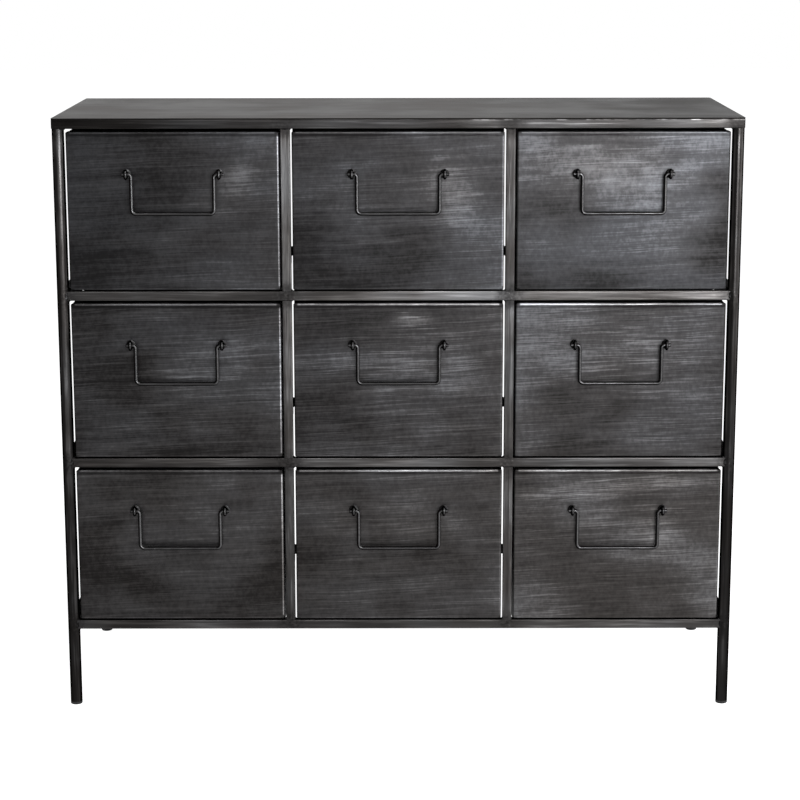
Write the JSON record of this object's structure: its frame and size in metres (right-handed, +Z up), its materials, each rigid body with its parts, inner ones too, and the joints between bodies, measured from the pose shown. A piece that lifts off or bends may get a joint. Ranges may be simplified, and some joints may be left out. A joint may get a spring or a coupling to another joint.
{
  "type": "metal drawer cabinet",
  "caption": "Open welded-tube cabinet on slim round legs, with a sheet-metal top and a grid of folded-steel drawers that slide out by hanging wire bail handles.",
  "frame": {"origin": "on the floor, at the middle of the bounding box in width and in depth, which counts the handles standing out in front", "axes": "+X to the right along the longest side, +Y from the drawer fronts to the open back along the shortest side, +Z up"},
  "size_m": [0.9524, 0.3732, 0.8455],
  "materials": {
    "frame_tube": "blackened steel tube, brushed along its length and clear-lacquered, ground at the welds",
    "top_sheet": "blackened steel sheet, finely brushed from side to side, satin lacquer",
    "drawer_front": "blackened steel sheet with fine wavy horizontal brushing and cloudy rubbed patches",
    "sheet_steel": "blackened mill-finish steel sheet, satin",
    "handle_wire": "round steel wire, blackened and rubbed bright on top",
    "foot_plug": "matt black plastic plug"
  },
  "bodies": {
    "frame": {"top_sheet": "top_sheet", "top_bar_front": "frame_tube", "top_bar_rear": "frame_tube", "top_bar_left": "frame_tube", "top_bar_right": "frame_tube", "post_front_left": "frame_tube", "post_front_right": "frame_tube", "post_rear_left": "frame_tube", "post_rear_right": "frame_tube", "foot_plugs": "foot_plug", "front_rail_1": "frame_tube", "front_rail_2": "frame_tube", "front_rail_3": "frame_tube", "rear_rail_1": "frame_tube", "rear_rail_2": "frame_tube", "rear_rail_3": "frame_tube", "front_divider_left": "frame_tube", "front_divider_right": "frame_tube", "rear_dividers": "frame_tube", "side_rails_left": "frame_tube", "side_rails_right": "frame_tube", "runners_1": "sheet_steel", "runners_2": "sheet_steel", "runners_3": "sheet_steel"},
    "drawer_r1c1": {"front_r1c1": "drawer_front", "tray_r1c1": "sheet_steel", "eyes_r1c1": "handle_wire"},
    "handle_r1c1": {"bail_r1c1": "handle_wire"},
    "drawer_r1c2": {"front_r1c2": "drawer_front", "tray_r1c2": "sheet_steel", "eyes_r1c2": "handle_wire"},
    "handle_r1c2": {"bail_r1c2": "handle_wire"},
    "drawer_r1c3": {"front_r1c3": "drawer_front", "tray_r1c3": "sheet_steel", "eyes_r1c3": "handle_wire"},
    "handle_r1c3": {"bail_r1c3": "handle_wire"},
    "drawer_r2c1": {"front_r2c1": "drawer_front", "tray_r2c1": "sheet_steel", "eyes_r2c1": "handle_wire"},
    "handle_r2c1": {"bail_r2c1": "handle_wire"},
    "drawer_r2c2": {"front_r2c2": "drawer_front", "tray_r2c2": "sheet_steel", "eyes_r2c2": "handle_wire"},
    "handle_r2c2": {"bail_r2c2": "handle_wire"},
    "drawer_r2c3": {"front_r2c3": "drawer_front", "tray_r2c3": "sheet_steel", "eyes_r2c3": "handle_wire"},
    "handle_r2c3": {"bail_r2c3": "handle_wire"},
    "drawer_r3c1": {"front_r3c1": "drawer_front", "tray_r3c1": "sheet_steel", "eyes_r3c1": "handle_wire"},
    "handle_r3c1": {"bail_r3c1": "handle_wire"},
    "drawer_r3c2": {"front_r3c2": "drawer_front", "tray_r3c2": "sheet_steel", "eyes_r3c2": "handle_wire"},
    "handle_r3c2": {"bail_r3c2": "handle_wire"},
    "drawer_r3c3": {"front_r3c3": "drawer_front", "tray_r3c3": "sheet_steel", "eyes_r3c3": "handle_wire"},
    "handle_r3c3": {"bail_r3c3": "handle_wire"}
  },
  "joints": [
    {"name": "slide_r1c1", "type": "slide", "parent": "frame", "child": "drawer_r1c1", "axis": [0, -1, 0], "range_m": [0, 0.25]},
    {"name": "swing_r1c1", "type": "hinge", "parent": "drawer_r1c1", "child": "handle_r1c1", "pos_m": [-0.3105, -0.1793, 0.769], "axis": [-1, 0, 0], "range_deg": [0, 170]},
    {"name": "slide_r1c2", "type": "slide", "parent": "frame", "child": "drawer_r1c2", "axis": [0, -1, 0], "range_m": [0, 0.25]},
    {"name": "swing_r1c2", "type": "hinge", "parent": "drawer_r1c2", "child": "handle_r1c2", "pos_m": [0, -0.1793, 0.769], "axis": [-1, 0, 0], "range_deg": [0, 170]},
    {"name": "slide_r1c3", "type": "slide", "parent": "frame", "child": "drawer_r1c3", "axis": [0, -1, 0], "range_m": [0, 0.25]},
    {"name": "swing_r1c3", "type": "hinge", "parent": "drawer_r1c3", "child": "handle_r1c3", "pos_m": [0.3105, -0.1793, 0.769], "axis": [-1, 0, 0], "range_deg": [0, 170]},
    {"name": "slide_r2c1", "type": "slide", "parent": "frame", "child": "drawer_r2c1", "axis": [0, -1, 0], "range_m": [0, 0.25]},
    {"name": "swing_r2c1", "type": "hinge", "parent": "drawer_r2c1", "child": "handle_r2c1", "pos_m": [-0.3105, -0.1793, 0.53], "axis": [-1, 0, 0], "range_deg": [0, 170]},
    {"name": "slide_r2c2", "type": "slide", "parent": "frame", "child": "drawer_r2c2", "axis": [0, -1, 0], "range_m": [0, 0.25]},
    {"name": "swing_r2c2", "type": "hinge", "parent": "drawer_r2c2", "child": "handle_r2c2", "pos_m": [0, -0.1793, 0.53], "axis": [-1, 0, 0], "range_deg": [0, 170]},
    {"name": "slide_r2c3", "type": "slide", "parent": "frame", "child": "drawer_r2c3", "axis": [0, -1, 0], "range_m": [0, 0.25]},
    {"name": "swing_r2c3", "type": "hinge", "parent": "drawer_r2c3", "child": "handle_r2c3", "pos_m": [0.3105, -0.1793, 0.53], "axis": [-1, 0, 0], "range_deg": [0, 170]},
    {"name": "slide_r3c1", "type": "slide", "parent": "frame", "child": "drawer_r3c1", "axis": [0, -1, 0], "range_m": [0, 0.25]},
    {"name": "swing_r3c1", "type": "hinge", "parent": "drawer_r3c1", "child": "handle_r3c1", "pos_m": [-0.3105, -0.1793, 0.291], "axis": [-1, 0, 0], "range_deg": [0, 170]},
    {"name": "slide_r3c2", "type": "slide", "parent": "frame", "child": "drawer_r3c2", "axis": [0, -1, 0], "range_m": [0, 0.25]},
    {"name": "swing_r3c2", "type": "hinge", "parent": "drawer_r3c2", "child": "handle_r3c2", "pos_m": [0, -0.1793, 0.291], "axis": [-1, 0, 0], "range_deg": [0, 170]},
    {"name": "slide_r3c3", "type": "slide", "parent": "frame", "child": "drawer_r3c3", "axis": [0, -1, 0], "range_m": [0, 0.25]},
    {"name": "swing_r3c3", "type": "hinge", "parent": "drawer_r3c3", "child": "handle_r3c3", "pos_m": [0.3105, -0.1793, 0.291], "axis": [-1, 0, 0], "range_deg": [0, 170]}
  ]
}
